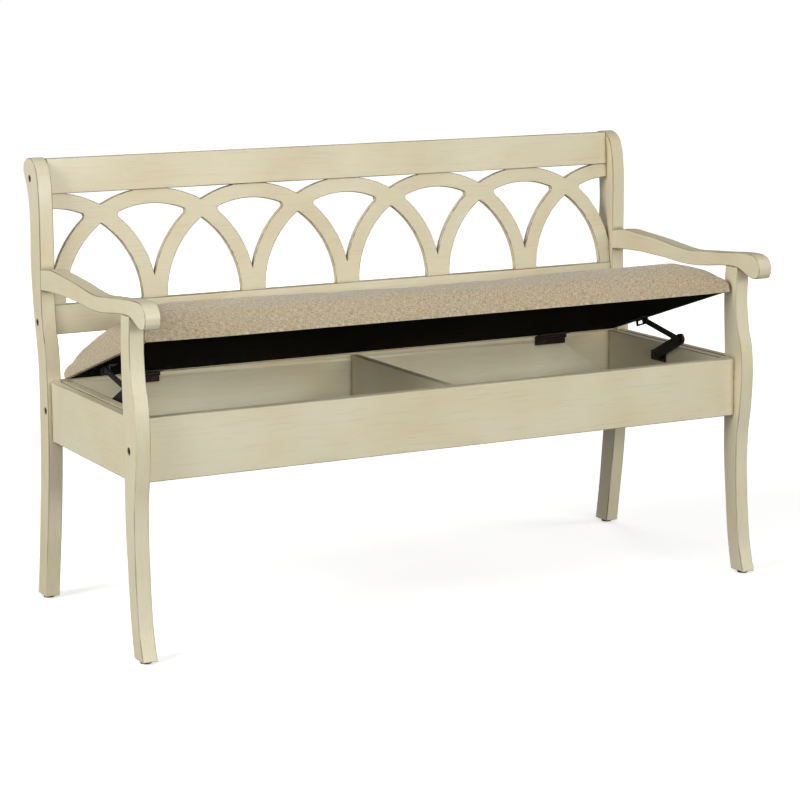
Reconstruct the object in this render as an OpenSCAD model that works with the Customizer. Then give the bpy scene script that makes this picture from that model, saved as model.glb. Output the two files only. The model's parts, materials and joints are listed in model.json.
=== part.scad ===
// Storage bench: a painted hardwood frame with an arched fretwork back, two sloping arms and a
// box under a hinged, upholstered lid. Millimetres, +Z up, the front faces -Y.
// The origin is on the floor, at the middle of the bench's outline.

/* [Overall] */
// Width over the outer faces of the legs
width = 1320; // [1100:10:1600]
// Distance from the front of the front feet to the front of the back feet
leg_spacing = 505.5; // [460:1:620]
// Height of the rails and of the box's top edge above the floor
box_top = 436; // [410:1:470]

/* [Legs and arms] */
// Thickness of the legs and back posts, seen from the front
leg_t = 28.5; // [24:0.5:40]
// Thickness of the arms, seen from the front
arm_t = 30; // [24:0.5:36]
// Height of the glides under the feet
glide_h = 5; // [3:0.5:10]
// Diameter of the glides
glide_d = 21; // [16:1:24]

/* [Box] */
// Height of the aprons that form the box
apron_h = 116; // [90:1:140]
// Thickness of the front and back aprons
apron_t = 18; // [14:1:24]
// Thickness of the side aprons between the legs
side_apron_t = 16; // [12:1:18]
// How far the side aprons sit inside the legs' outer faces
side_setback = 8; // [4:1:10]
// Thickness of the inner sides of the box
box_side_t = 18; // [12:1:20]
// Thickness of the panel that divides the box
divider_t = 15; // [10:1:20]
// Thickness of the box's bottom
bottom_t = 8; // [5:1:12]
// Section of the cleats that carry the bottom
cleat = 12; // [8:1:18]

/* [Back] */
// Distance between the arches, which is adjusted so that a whole number fits
arch_spacing = 210; // [190:5:230]
// Radius of an arch's outer edge, as a share of the distance between the arches
arch_reach = 1.022; // [1.01:0.001:1.04]
// Width of an arch
arch_w = 31; // [22:1:36]
// Visible height of the arched panel
panel_h = 212; // [205:1:240]
// Thickness of the arched panel
panel_t = 12; // [8:1:18]
// How deep the panel sits in the rails' grooves
tongue = 8; // [5:1:12]
// Radius of the round side corners of the fan-shaped openings
fan_r = 6; // [3:1:10]
// Thickness of the crest rail and of the lower back rail
rail_t = 28.5; // [24:0.5:32]
// Height of the crest rail
crest_h = 69; // [55:1:75]
// Height of the lower back rail
lower_rail_h = 57; // [45:1:60]
// Angle by which the back leans from upright
lean = 4.5; // [3.5:0.1:5.5]

/* [Lid] */
// How far the lid's front edge stands out over the front apron
lid_overhang = 14; // [8:1:20]
// Gap between the lid's ends and the legs
lid_side_gap = 5.5; // [4:0.5:12]
// Angle at which the lid stands open
lid_open = 17.5; // [0:0.5:30]
// Gap between the closed lid and the box
lid_gap = 1; // [0.5:0.5:4]
// Thickness of the seat board
board_t = 12; // [9:1:15]
// Thickness of the cloth under the seat board
dust_t = 1; // [0.5:0.5:2]
// Thickness of the seat's cover
cover_t = 3; // [2:0.5:5]
// Height of the upholstered lid at its middle
seat_h = 72; // [60:1:80]

/* [Hinges] */
// Width of a hinge
hinge_w = 74; // [50:1:100]
// Distance of a hinge from the middle of the bench
hinge_x = 465; // [350:5:520]
// Thickness of a hinge leaf
leaf_t = 2; // [1.5:0.1:2.5]
// Radius of a hinge knuckle
knuckle_r = 4; // [3.5:0.5:5]
// Radius of a hinge pin
pin_r = 2; // [1.5:0.1:2.4]
// Radial clearance of the pins and pivots
running_gap = 0.06; // [0.03:0.01:0.1]

/* [Lid stays] */
// Width of a stay's lower link
lower_link_w = 22; // [16:1:26]
// Thickness of a stay's lower link
lower_link_t = 7; // [4:0.5:8]
// Width of a stay's upper link
upper_link_w = 12; // [10:1:16]
// Thickness of the thin steel of the stays
stay_t = 2.5; // [2:0.1:3]
// Radius of the stays' rivets
rivet_r = 3; // [2:0.5:4]

/* [Fasteners] */
// Radius of a connector bolt's shank
bolt_r = 3; // [2.5:0.5:4]
// Radius of a connector bolt's head
bolt_head_r = 6; // [5:0.5:7]
// How deep a bolt's head sits below the leg's face
bolt_sink = 1.5; // [0.5:0.5:4]
// Radius of the dowels
dowel_r = 4; // [3:0.5:5]

/* [Hidden] */
$fn = 64;

// Side view: y runs backwards from the front of the front feet, and front_y is that line in the part's frame.
front_y = -leg_spacing / 2 - 11.25;
back_foot = leg_spacing;          // front of the back feet, in the side view
leg_x = width / 2;                // outer face of the legs
inner_x = leg_x - leg_t;          // inner face of the legs
box_bottom_z = box_top - apron_h; // lower edge of the aprons
apron_front = 38;                 // front face of the front apron, in the side view
back_apron_front = back_foot - 33.5;
back_apron_t = 16;

// Lid, seen from the side in its closed position: the hinge axis lies under its rear edge.
hinge_y = back_apron_front - knuckle_r;
hinge_z = box_top + lid_gap - knuckle_r;
lid_under = hinge_z + knuckle_r;  // underside of the closed lid
lid_rear = hinge_y - 1;
lid_front = apron_front - lid_overhang;
lid_depth = lid_rear - lid_front;
lid_w = width - 2 * leg_t - 2 * lid_side_gap;

// Back panel: its foot is the lower rail's top, and it leans about that line.
rail_front = back_foot - 11;      // front face of the rails at the panel's foot
panel_foot = box_top + 143.3;
post_top = panel_foot + (panel_h + crest_h) * cos(lean) + 1.1;

// Stays: the pivots in the side view. The links are laid out for a lid at stay_open, and turn with the
// lid: the lower one by lower_turn degrees for each degree of the lid, the upper one by upper_turn.
stay_wall_x = inner_x - 0.5 - box_side_t;     // inner face of the box's sides
stay_open = 17.5;
lower_turn = 1.524;
upper_turn = -0.141;
pivot_base = [hinge_y - 190, hinge_z - 22];
pivot_elbow = pivot_base + turned([-89, 45], lower_turn * (lid_open - stay_open));
pivot_tip = pivot_elbow + turned([120, 22], upper_turn * (lid_open - stay_open));
tip_travel = [142.4, 169.6];                  // how far the tip slides along the lid, from the hinge axis
tip_drop = 4.9;                               // the tip's pivot below the hinge axis, with the lid closed

// v turned the way the lid opens, which is clockwise in the side view.
function turned(v, a) = [v[0] * cos(a) + v[1] * sin(a), v[1] * cos(a) - v[0] * sin(a)];

// ---------- curves ----------

// Point at t between p1 and p2 of a smooth curve through p0, p1, p2 and p3.
function smooth_at(p0, p1, p2, p3, t) =
    0.5 * (2 * p1 + (p2 - p0) * t + (2 * p0 - 5 * p1 + 4 * p2 - p3) * t * t
        + (3 * p1 - p0 - 3 * p2 + p3) * t * t * t);

// A smooth curve through all the points, with a few steps between each two.
function smooth(p, steps = 5) = [
    for (i = [0 : len(p) - 2], s = [0 : steps - 1])
        smooth_at(p[max(i - 1, 0)], p[i], p[i + 1], p[min(i + 2, len(p) - 1)], s / steps),
    p[len(p) - 1]
];

function reversed(p) = [for (i = [len(p) - 1 : -1 : 0]) p[i]];

// An outline in the side view, extruded along X between two planes.
module along_x(x0, x1) {
    translate([x0, front_y, 0]) rotate([90, 0, 90]) linear_extrude(x1 - x0) children();
}

// The same on the left and on the right of the bench.
module both_sides() {
    children();
    mirror([1, 0, 0]) children();
}

// A cylinder along X, given by its axis in the side view.
module x_cylinder(r, x0, x1, at) {
    translate([x0, front_y + at[0], at[1]]) rotate([0, 90, 0]) cylinder(r = r, h = x1 - x0);
}

// A box between two x, two side-view y and two z.
module block(x, y, z) {
    translate([x[0], front_y + y[0], z[0]]) cube([x[1] - x[0], y[1] - y[0], z[1] - z[0]]);
}

// ---------- outlines in the side view ----------

// Front edge and rear edge of the front leg, from the floor upwards.
leg_top = box_top + 182;
front_leg_front = [[0, glide_h], [9.5, 36], [17, 68], [24.5, 134], [28.5, 215], [26, 285], [18, 335],
    [12.5, 405], [17, box_top + 25], [28, box_top + 62], [34.5, box_top + 112], [33, box_top + 160],
    [29, leg_top + 10]];
front_leg_rear = [[41.5, glide_h], [50, 45], [57, 90], [63.5, 158], [70, 235], [71, 315], [69.5, 386],
    [71.5, box_top + 6], [75, box_top + 83], [75.5, box_top + 135], [71, leg_top + 10]];

module front_leg_outline() {
    polygon(concat(smooth(front_leg_front), reversed(smooth(front_leg_rear))));
}

// Front edge and rear edge of the back post; the y values count from the front of the back foot.
post_front = [[0, glide_h], [-11, 72], [-23.5, 150], [-34, 236], [-40.5, 320], [-41, 380],
    [-38.5, box_top + 15], [-33, box_top + 64], [-23, box_top + 100], [-17.5, box_top + 150],
    [-19, box_top + 250], [-19, post_top - 94.5], [-14, post_top - 48.5], [-7, post_top - 24.5],
    [3, post_top - 11.5], [16, post_top - 3.5], [29, post_top]];
post_rear = [[44, glide_h], [30, 88], [20.5, 165], [11.5, 241], [7.5, 320], [6, 390], [8, box_top + 26],
    [18, box_top + 80], [29, box_top + 135], [35.5, box_top + 185], [36.5, box_top + 235],
    [34.5, post_top - 134.5], [40, post_top - 81.5], [50, post_top - 54.5], [61, post_top - 36.5],
    [65.5, post_top - 21.5], [59, post_top - 9.5], [45, post_top - 2.5], [29, post_top]];

module post_outline() {
    translate([back_foot, 0])
        polygon(concat(smooth(post_front), reversed(smooth(post_rear))));
}

// Upper and lower edge of the arm, from its scrolled front end to the post; z counts from the box's top.
arm_upper = [[-42, 178], [-43, 189], [-40, 199], [-31, 208.5], [-12, 214], [28, 213.5],
    [back_foot * 0.158, 209], [back_foot * 0.267, 205], [back_foot * 0.386, 201], [back_foot * 0.495, 205],
    [back_foot * 0.593, 210.5], [back_foot * 0.766, 217], [back_foot * 0.869, 219.5], [back_foot, 211]];
arm_lower = [[-42, 178], [-36, 169.5], [-25, 167], [-10, 169], [8, 176], [28, 183], [52, 184.5],
    [back_foot * 0.178, 181.5], [back_foot * 0.267, 176], [back_foot * 0.36, 172], [back_foot * 0.461, 172],
    [back_foot * 0.574, 176], [back_foot * 0.673, 177.5], [back_foot * 0.763, 178.5],
    [back_foot * 0.869, 177], [back_foot, 173]];

module arm_outline() {
    translate([0, box_top])
        difference() {
            polygon(concat(smooth(arm_lower), reversed(smooth(arm_upper))));
            translate([0, -box_top]) post_outline();
            translate([back_foot - 5, -box_top]) square([200, 2000]);
        }
}

// ---------- legs, posts and arms ----------

bolt_head_h = 4;
bolt_len = 52;
crest_bolt = [back_foot + 30, post_top - 40.5];
lower_rail_bolt = [rail_front + 18.5, panel_foot - 34];
back_apron_bolt = [back_apron_front + back_apron_t / 2, box_top - 58];
front_apron_bolt = [apron_front + apron_t / 2, box_top - 58];
post_bolts = [crest_bolt, lower_rail_bolt, back_apron_bolt];
dowel_len = 36;
nail_r = 1.5;
nail_len = 14;
front_foot = 20.75;                // middle of the front foot, in the side view
back_foot_mid = back_foot + 22;
side_dowel_z = [box_top - 85, box_top - 30];
side_apron_x = leg_x - side_setback - side_apron_t / 2;
arm_dowel_y = 52;
arm_dowel_z = box_top + 198;

// Hole for a connector bolt through a leg, with a pocket for its head.
module bolt_hole(at) {
    x_cylinder(bolt_r + 0.25, inner_x - 1, leg_x + 1, at);
    x_cylinder(bolt_head_r + 0.5, leg_x - bolt_sink - bolt_head_h, leg_x + 1, at);
}

module nail_hole(y) {
    translate([leg_x - leg_t / 2, front_y + y, 0]) cylinder(r = nail_r, h = glide_h + nail_len);
}

// A dowel along Y about a point of the side view.
module y_dowel(x, y, z) {
    translate([x, front_y + y - dowel_len / 2, z]) rotate([-90, 0, 0]) cylinder(r = dowel_r, h = dowel_len);
}

module arm_dowel_pair() {
    y_dowel(leg_x - arm_t / 2, back_foot - 17.5, arm_dowel_z);
    translate([leg_x - leg_t / 2, front_y + arm_dowel_y, leg_top - dowel_len + 14])
        cylinder(r = dowel_r, h = dowel_len);
}

module side_dowel_set() {
    for (z = side_dowel_z) {
        y_dowel(side_apron_x, 70.5, z);
        y_dowel(side_apron_x, back_foot - 38, z);
    }
}

rail_dowel_x = inner_x - dowel_len / 2;

// Dowels along X that keep the rails from turning on their bolts.
module rail_dowel_set() {
    for (at = [crest_bolt + [0, 22], lower_rail_bolt + [-4, 18]])
        x_cylinder(dowel_r, rail_dowel_x, rail_dowel_x + dowel_len, at);
}

module back_post() {
    difference() {
        along_x(inner_x, leg_x) post_outline();
        for (at = post_bolts) bolt_hole(at);
        arm_dowel_pair();
        side_dowel_set();
        rail_dowel_set();
        nail_hole(back_foot_mid);
    }
}

module front_leg() {
    difference() {
        along_x(inner_x, leg_x)
            difference() {
                front_leg_outline();
                arm_outline();
                translate([-100, leg_top + 2]) square([300, 100]);
            }
        bolt_hole(front_apron_bolt);
        arm_dowel_pair();
        side_dowel_set();
        nail_hole(front_foot);
    }
}

module arm() {
    difference() {
        along_x(leg_x - arm_t, leg_x) arm_outline();
        arm_dowel_pair();
    }
}

module left_back_post() color("antiquewhite") mirror([1, 0, 0]) back_post();
module right_back_post() color("antiquewhite") back_post();
module left_front_leg() color("antiquewhite") mirror([1, 0, 0]) front_leg();
module right_front_leg() color("antiquewhite") front_leg();
module left_arm() color("antiquewhite") mirror([1, 0, 0]) arm();
module right_arm() color("antiquewhite") arm();

// ---------- back ----------

bays = round(2 * inner_x / arch_spacing);
arch_pitch = 2 * inner_x / bays;
arch_outer = arch_pitch * arch_reach;
arch_inner = arch_outer - arch_w;
arch_tuck = 3;                     // how far the arches reach up behind the crest rail
arch_foot = panel_h + arch_tuck - arch_outer;   // height of the arches' centres above the lower rail

// Places something drawn flat (x across, y up the panel) on the leaning back, depth behind its front.
module on_back(depth, thickness) {
    translate([0, front_y + rail_front, panel_foot]) rotate([90 - lean, 0, 0])
        translate([0, 0, -depth - thickness]) linear_extrude(thickness) children();
}

// Centre of the circle that rounds a fan's side corner, between the arch and its neighbour.
function corner_x(ra, rb) = (ra * ra - rb * rb + arch_pitch * arch_pitch) / (2 * arch_pitch);
function along(v, r) = v * r / norm(v);
fan_cx = corner_x(arch_inner - fan_r, arch_outer + fan_r);
fan_c = [fan_cx, sqrt(pow(arch_inner - fan_r, 2) - fan_cx * fan_cx)];
tip_cx = corner_x(arch_inner, arch_outer);
fan_tip = [tip_cx, sqrt(arch_inner * arch_inner - tip_cx * tip_cx)];
round_over = 0.05;                 // the rounding circle crosses both arches, and doesn't just touch them

// The sharp corner of a fan that is filled, right of its middle.
module fan_corner() {
    neighbour = [arch_pitch, 0];
    polygon([fan_c, along(fan_c, arch_inner), fan_tip + [3, 0], neighbour + along(fan_c - neighbour, arch_outer)]);
}

// Fan-shaped opening above a stem: inside its own arch, outside both neighbours.
module fan() {
    difference() {
        circle(arch_inner, $fn = 128);
        for (s = [-1, 1]) translate([s * arch_pitch, 0]) circle(arch_outer, $fn = 128);
        for (s = [0, 1]) mirror([s, 0]) fan_corner();
        translate([-arch_outer, -2 * arch_outer]) square(2 * arch_outer);
    }
    for (s = [-1, 1]) translate([s * fan_c[0], fan_c[1]]) circle(fan_r + round_over, $fn = 32);
}

// Pointed opening between two stems: inside both arches, and straight down from their centres.
module pointed_opening() {
    intersection() {
        circle(arch_inner, $fn = 128);
        translate([arch_pitch, 0]) circle(arch_inner, $fn = 128);
        square([arch_pitch, panel_h]);
    }
    if (arch_foot > 0)
        translate([arch_pitch - arch_inner, -arch_foot])
            square([2 * arch_inner - arch_pitch, arch_foot + round_over]);
}

// Small opening under the crest rail, outside both arches.
module top_triangle() {
    difference() {
        square([arch_pitch, panel_h]);
        circle(arch_outer, $fn = 128);
        translate([arch_pitch, 0]) circle(arch_outer, $fn = 128);
    }
}

module panel_outline() {
    difference() {
        translate([-inner_x, -tongue]) square([2 * inner_x, panel_h + 2 * tongue]);
        intersection() {
            translate([-inner_x, 0]) square([2 * inner_x, panel_h]);
            union() {
                for (i = [0 : bays]) translate([-inner_x + i * arch_pitch, arch_foot]) fan();
                for (i = [0 : bays - 1])
                    translate([-inner_x + i * arch_pitch, arch_foot]) {
                        pointed_opening();
                        top_triangle();
                    }
            }
        }
    }
}

panel_depth = 2.5;                 // the panel's face, behind the rails' face
insert_r = 5;
insert_len = 15;

// Holes for a bolt and its insert nut in the right end of a rail.
module insert_hole(at) {
    x_cylinder(insert_r, inner_x - insert_len, inner_x + 1, at);
    x_cylinder(bolt_r, leg_x - bolt_len, inner_x + 1, at);
}

module crest_rail() color("antiquewhite") {
    difference() {
        on_back(0, rail_t) translate([-inner_x, panel_h]) square([2 * inner_x, crest_h]);
        on_back(panel_depth, panel_t) panel_outline();
        both_sides() {
            insert_hole(crest_bolt);
            rail_dowel_set();
        }
    }
}

module lower_back_rail() color("antiquewhite") {
    difference() {
        on_back(0, rail_t) translate([-inner_x, -lower_rail_h]) square([2 * inner_x, lower_rail_h]);
        on_back(panel_depth, panel_t) panel_outline();
        both_sides() {
            insert_hole(lower_rail_bolt);
            rail_dowel_set();
        }
    }
}

module arch_panel() color("antiquewhite") on_back(panel_depth, panel_t) panel_outline();

// ---------- box ----------

box_front = apron_front + apron_t;   // inner face of the front apron, in the side view

module front_apron() color("antiquewhite") {
    difference() {
        block([-inner_x, inner_x], [apron_front, box_front], [box_bottom_z, box_top]);
        both_sides() insert_hole(front_apron_bolt);
    }
}

module back_apron() color("antiquewhite") {
    difference() {
        block([-inner_x, inner_x], [back_apron_front, back_apron_front + back_apron_t],
            [box_bottom_z, box_top]);
        both_sides() insert_hole(back_apron_bolt);
        both_sides() for (x = hinge_screw_x) hinge_box_screw(x);
    }
}

module side_apron() {
    difference() {
        along_x(side_apron_x - side_apron_t / 2, side_apron_x + side_apron_t / 2)
            difference() {
                translate([50, box_bottom_z]) square([back_foot - 50, apron_h]);
                front_leg_outline();
                post_outline();
                translate([0, box_bottom_z - 1]) square([60, apron_h + 2]);
            }
        side_dowel_set();
    }
}

module left_side_apron() color("antiquewhite") mirror([1, 0, 0]) side_apron();
module right_side_apron() color("antiquewhite") side_apron();

module box_side() {
    difference() {
        block([stay_wall_x, stay_wall_x + box_side_t], [box_front, back_apron_front], [box_bottom_z, box_top]);
        for (at = stay_screw_at) stay_base_screw(at);
    }
}

module left_box_side() color("antiquewhite") mirror([1, 0, 0]) box_side();
module right_box_side() color("antiquewhite") box_side();

bottom_z = box_bottom_z + cleat;   // underside of the box's bottom
divider_gap = 2;                   // the divider stops this far below the box's top edge

module center_divider() color("antiquewhite")
    block([-divider_t / 2, divider_t / 2], [box_front, back_apron_front],
        [bottom_z + bottom_t, box_top - divider_gap]);

module box_bottom() color("antiquewhite")
    block([-stay_wall_x, stay_wall_x], [box_front, back_apron_front], [bottom_z, bottom_z + bottom_t]);

module bottom_cleats() color("burlywood") {
    for (y = [box_front, back_apron_front - cleat])
        block([-stay_wall_x, stay_wall_x], [y, y + cleat], [box_bottom_z, bottom_z]);
    both_sides()
        block([stay_wall_x - cleat, stay_wall_x], [box_front + cleat, back_apron_front - cleat],
            [box_bottom_z, bottom_z]);
}

// ---------- fasteners and feet ----------

module arm_dowels() color("tan") both_sides() arm_dowel_pair();
module side_apron_dowels() color("tan") both_sides() side_dowel_set();
module rail_dowels() color("tan") both_sides() rail_dowel_set();

socket_across = 5;
socket_depth = 2.5;

// Cap-head bolt along X, its head sunk in the leg and a hexagon socket in the head.
module connector_bolt(at) {
    head_x = leg_x - bolt_sink;
    difference() {
        union() {
            x_cylinder(bolt_head_r, head_x - bolt_head_h, head_x, at);
            x_cylinder(bolt_r, leg_x - bolt_len, head_x - bolt_head_h, at);
        }
        translate([head_x - socket_depth, front_y + at[0], at[1]]) rotate([0, 90, 0])
            cylinder(d = socket_across / cos(30), h = socket_depth + 1, $fn = 6);
    }
}

module insert_nut(at) {
    difference() {
        x_cylinder(insert_r, inner_x - insert_len, inner_x, at);
        x_cylinder(bolt_r, inner_x - insert_len - 1, inner_x + 1, at);
    }
}

all_bolts = concat(post_bolts, [front_apron_bolt]);
module connector_bolts() color("dimgray") both_sides() for (at = all_bolts) connector_bolt(at);
module insert_nuts() color("silver") both_sides() for (at = all_bolts) insert_nut(at);

module foot_glides() color("saddlebrown") both_sides()
    for (y = [front_foot, back_foot_mid])
        translate([leg_x - leg_t / 2, front_y + y, 0]) {
            cylinder(d = glide_d, h = glide_h);
            cylinder(r = nail_r, h = glide_h + nail_len);
        }

// ---------- hinges ----------

knuckles = 5;
knuckle_gap = 0.3;
leaf_drop = 16;                    // how far the box leaf reaches below the hinge axis
leaf_reach = 28;                   // how far the lid leaf reaches from the hinge axis
screw_r = 1.8;
screw_len = 11;
screw_head_r = 3.4;
hinge_screw_x = [hinge_x - hinge_w / 3, hinge_x, hinge_x + hinge_w / 3];
hinge_axis = [hinge_y, hinge_z];

// Knuckles of one leaf: every second one from the first or from the second.
module knuckle_row(first) {
    step = hinge_w / knuckles;
    for (i = [first : 2 : knuckles - 1])
        x_cylinder(knuckle_r, hinge_x - hinge_w / 2 + i * step + knuckle_gap / 2,
            hinge_x - hinge_w / 2 + (i + 1) * step - knuckle_gap / 2, hinge_axis);
}

// Room for the other leaf's knuckles.
module knuckle_room(first) {
    step = hinge_w / knuckles;
    for (i = [first : 2 : knuckles - 1])
        x_cylinder(knuckle_r + knuckle_gap, hinge_x - hinge_w / 2 + i * step - knuckle_gap / 2,
            hinge_x - hinge_w / 2 + (i + 1) * step + knuckle_gap / 2, hinge_axis);
}

module hinge_bore() {
    x_cylinder(pin_r + running_gap, hinge_x - hinge_w / 2 - 1, hinge_x + hinge_w / 2 + 1, hinge_axis);
}

// Countersunk screw that points along +Y, through the box leaf into the back apron.
module hinge_box_screw(x) {
    translate([x, front_y + back_apron_front - leaf_t, hinge_z - leaf_drop * 0.6]) rotate([-90, 0, 0]) {
        cylinder(r1 = screw_head_r, r2 = screw_r, h = leaf_t);
        cylinder(r = screw_r, h = screw_len);
    }
}

module hinge_box_leaf() {
    difference() {
        union() {
            knuckle_row(0);
            difference() {
                block([hinge_x - hinge_w / 2, hinge_x + hinge_w / 2],
                    [back_apron_front - leaf_t, back_apron_front], [hinge_z - leaf_drop, hinge_z]);
                knuckle_room(1);
            }
        }
        hinge_bore();
        for (x = hinge_screw_x) hinge_box_screw(x);
    }
}

// Countersunk screw that points up, through the lid leaf into the seat board.
module hinge_lid_screw(x) {
    translate([x, front_y + hinge_y - leaf_reach * 0.62, lid_under - leaf_t]) {
        cylinder(r1 = screw_head_r, r2 = screw_r, h = leaf_t);
        cylinder(r = screw_r, h = screw_len);
    }
}

module hinge_lid_leaf() {
    difference() {
        union() {
            knuckle_row(1);
            difference() {
                block([hinge_x - hinge_w / 2, hinge_x + hinge_w / 2],
                    [hinge_y - leaf_reach, hinge_y], [lid_under - leaf_t, lid_under]);
                knuckle_room(0);
            }
        }
        hinge_bore();
        for (x = hinge_screw_x) hinge_lid_screw(x);
    }
}

module hinge_box_leaves() color("darkslategray") both_sides() hinge_box_leaf();
module hinge_pins() color("darkslategray") both_sides()
    x_cylinder(pin_r, hinge_x - hinge_w / 2, hinge_x + hinge_w / 2, hinge_axis);
module hinge_box_screws() color("dimgray") both_sides() for (x = hinge_screw_x) hinge_box_screw(x);

// ---------- lid ----------

// Turns what is drawn for the closed lid about the hinge axis, to where the lid stands at rest.
module opened() {
    translate([0, front_y + hinge_y, hinge_z]) rotate([-lid_open, 0, 0])
        translate([0, -front_y - hinge_y, -hinge_z]) children();
}

board_margin = cover_t;            // the cover wraps the board's edges
board_z = lid_under + dust_t;
board_x = lid_w / 2 - board_margin;

module lid_screw_holes() {
    both_sides() {
        for (x = hinge_screw_x) hinge_lid_screw(x);
        for (u = stay_lid_screw_u) stay_lid_screw(u);
    }
}

module seat_board() color("peru") opened()
    difference() {
        block([-board_x, board_x], [lid_front + board_margin, lid_rear - board_margin],
            [board_z, board_z + board_t]);
        lid_screw_holes();
    }

module dust_cover() color("#202020") opened()
    difference() {
        block([-lid_w / 2 + 10, lid_w / 2 - 10], [lid_front + 10, lid_rear - 6], [lid_under, board_z]);
        lid_screw_holes();
    }

// Section of the upholstered lid across its depth: a low rear edge, a long crown and a round front.
// u runs from the rear edge to the front, n up from the underside.
cushion_section = [[0, 12], [4, 21], [22, 33], [50, 43.5], [90, 52.5], [lid_depth * 0.34, seat_h - 7.5],
    [lid_depth * 0.485, seat_h - 2.5], [lid_depth * 0.62, seat_h - 0.5], [lid_depth * 0.735, seat_h - 0.5],
    [lid_depth * 0.845, seat_h - 2.5], [lid_depth - 36, seat_h - 8], [lid_depth - 16, seat_h - 18],
    [lid_depth - 4, seat_h - 32], [lid_depth, seat_h - 47]];

module cushion_side(inset) {
    intersection() {
        translate([0, -inset])
            polygon(concat([[0, inset]], smooth(cushion_section, 4), [[lid_depth, inset]]));
        translate([inset, 0]) square([lid_depth - 2 * inset, seat_h]);
    }
}

// Section along the bench: flat, with ends that curve down as quarter ellipses.
end_reach = 85;
end_drop = 46;
function end_curve(half, top) =
    [for (a = [0 : 10 : 90]) [half - end_reach * (1 - cos(a)), top - end_drop * (1 - sin(a))]];

module cushion_front(inset) {
    half = lid_w / 2 - inset;
    right_end = end_curve(half, seat_h - inset);
    left_end = [for (p = reversed(right_end)) [-p[0], p[1]]];
    polygon(concat([[half, 0]], right_end, left_end, [[-half, 0]]));
}

// The upholstered lid's shape, inset all round by the cover's thickness or by nothing.
module cushion_body(inset) {
    intersection() {
        translate([-lid_w / 2, front_y + lid_rear, lid_under])
            mirror([0, 1, 0]) rotate([90, 0, 90]) linear_extrude(lid_w) cushion_side(inset);
        translate([0, front_y + lid_rear + 1, lid_under])
            rotate([90, 0, 0]) linear_extrude(lid_depth + 2) cushion_front(inset);
    }
}

module seat_foam() color("lightyellow") opened()
    difference() {
        cushion_body(cover_t);
        block([-lid_w, lid_w], [lid_front - 1, lid_rear + 1], [lid_under - 1, board_z + board_t]);
        lid_screw_holes();
    }

module seat_cover() color("tan") opened()
    difference() {
        cushion_body(0);
        cushion_body(cover_t);
        block([-board_x, board_x], [lid_front + board_margin, lid_rear - board_margin],
            [lid_under - 1, board_z + board_t]);
        block([-lid_w / 2 + 10, lid_w / 2 - 10], [lid_front + 10, lid_rear - 6], [lid_under - 1, board_z]);
    }

module hinge_lid_leaves() color("darkslategray") opened() both_sides() hinge_lid_leaf();
module hinge_lid_screws() color("dimgray") opened() both_sides() for (x = hinge_screw_x) hinge_lid_screw(x);

// ---------- lid stays, drawn for the right side ----------

layer_gap = 0.4;                   // between parts that turn against each other
boss_t = 2;
plate_x = stay_wall_x - stay_t;    // inner face of the base plate
lower_x1 = plate_x - boss_t;       // outer face of the lower link
lower_x0 = lower_x1 - lower_link_t;
upper_x1 = lower_x0 - layer_gap;
upper_x0 = upper_x1 - stay_t;
tab_x1 = upper_x0 - layer_gap;
tab_x0 = tab_x1 - stay_t;
rivet_head_r = rivet_r + 2;
rivet_head_h = 1.5;
stay_screw_at = [[pivot_base[0] - 17, pivot_base[1] - 3], [pivot_base[0] + 17, pivot_base[1] - 3]];
stay_lid_screw_u = [tip_travel[0] - 2, tip_travel[1] + 2];

// Screw that points outwards, through the base plate into the box's side.
module stay_base_screw(at) {
    x_cylinder(screw_r, plate_x, plate_x + screw_len, at);
    x_cylinder(screw_head_r, plate_x - 1.2, plate_x, at);
}

// Base plate on the box's side, with a boss and the rivet that the lower link turns on.
module stay_base() {
    difference() {
        union() {
            along_x(plate_x, stay_wall_x)
                translate([pivot_base[0] - 26, pivot_base[1] - 14]) square([52, 20]);
            x_cylinder(rivet_head_r + 4, plate_x - boss_t + layer_gap, stay_wall_x, pivot_base);
            x_cylinder(rivet_r, lower_x0 - layer_gap, stay_wall_x, pivot_base);
            x_cylinder(rivet_head_r, lower_x0 - layer_gap - rivet_head_h, lower_x0 - layer_gap, pivot_base);
        }
        for (at = stay_screw_at) stay_base_screw(at);
    }
}

// A bar with round ends between two points of the side view.
module bar(a, b, w, x0, x1) {
    d = b - a;
    translate([x0, front_y + a[0], a[1]]) rotate([90, 0, 90]) rotate([0, 0, atan2(d[1], d[0])])
        linear_extrude(x1 - x0) {
            circle(d = w);
            translate([norm(d), 0]) circle(d = w);
            translate([0, -w / 2]) square([norm(d), w]);
        }
}

// Lower link: a deep pressed housing, wide at the base pivot, with the elbow's rivet.
module stay_lower_link() {
    difference() {
        union() {
            bar(pivot_base, pivot_elbow, lower_link_w, lower_x0, lower_x1);
            x_cylinder(rivet_r, upper_x0 - layer_gap, lower_x1, pivot_elbow);
            x_cylinder(rivet_head_r, upper_x0 - layer_gap - rivet_head_h, upper_x0 - layer_gap, pivot_elbow);
        }
        x_cylinder(rivet_r + running_gap, lower_x0 - 1, lower_x1 + 1, pivot_base);
    }
}

// Upper link: a thin strip, with the rivet that slides in the lid bracket's slot.
module stay_upper_link() {
    difference() {
        union() {
            bar(pivot_elbow, pivot_tip, upper_link_w, upper_x0, upper_x1);
            x_cylinder(rivet_r, tab_x0 - layer_gap, upper_x1, pivot_tip);
            x_cylinder(rivet_head_r, tab_x0 - layer_gap - rivet_head_h, tab_x0 - layer_gap, pivot_tip);
        }
        x_cylinder(rivet_r + running_gap, upper_x0 - 1, upper_x1 + 1, pivot_elbow);
    }
}

slot_gap = 0.2;
slot_z = hinge_z - tip_drop;
foot_w = 14;                       // width of the bracket's foot on the board

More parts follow.
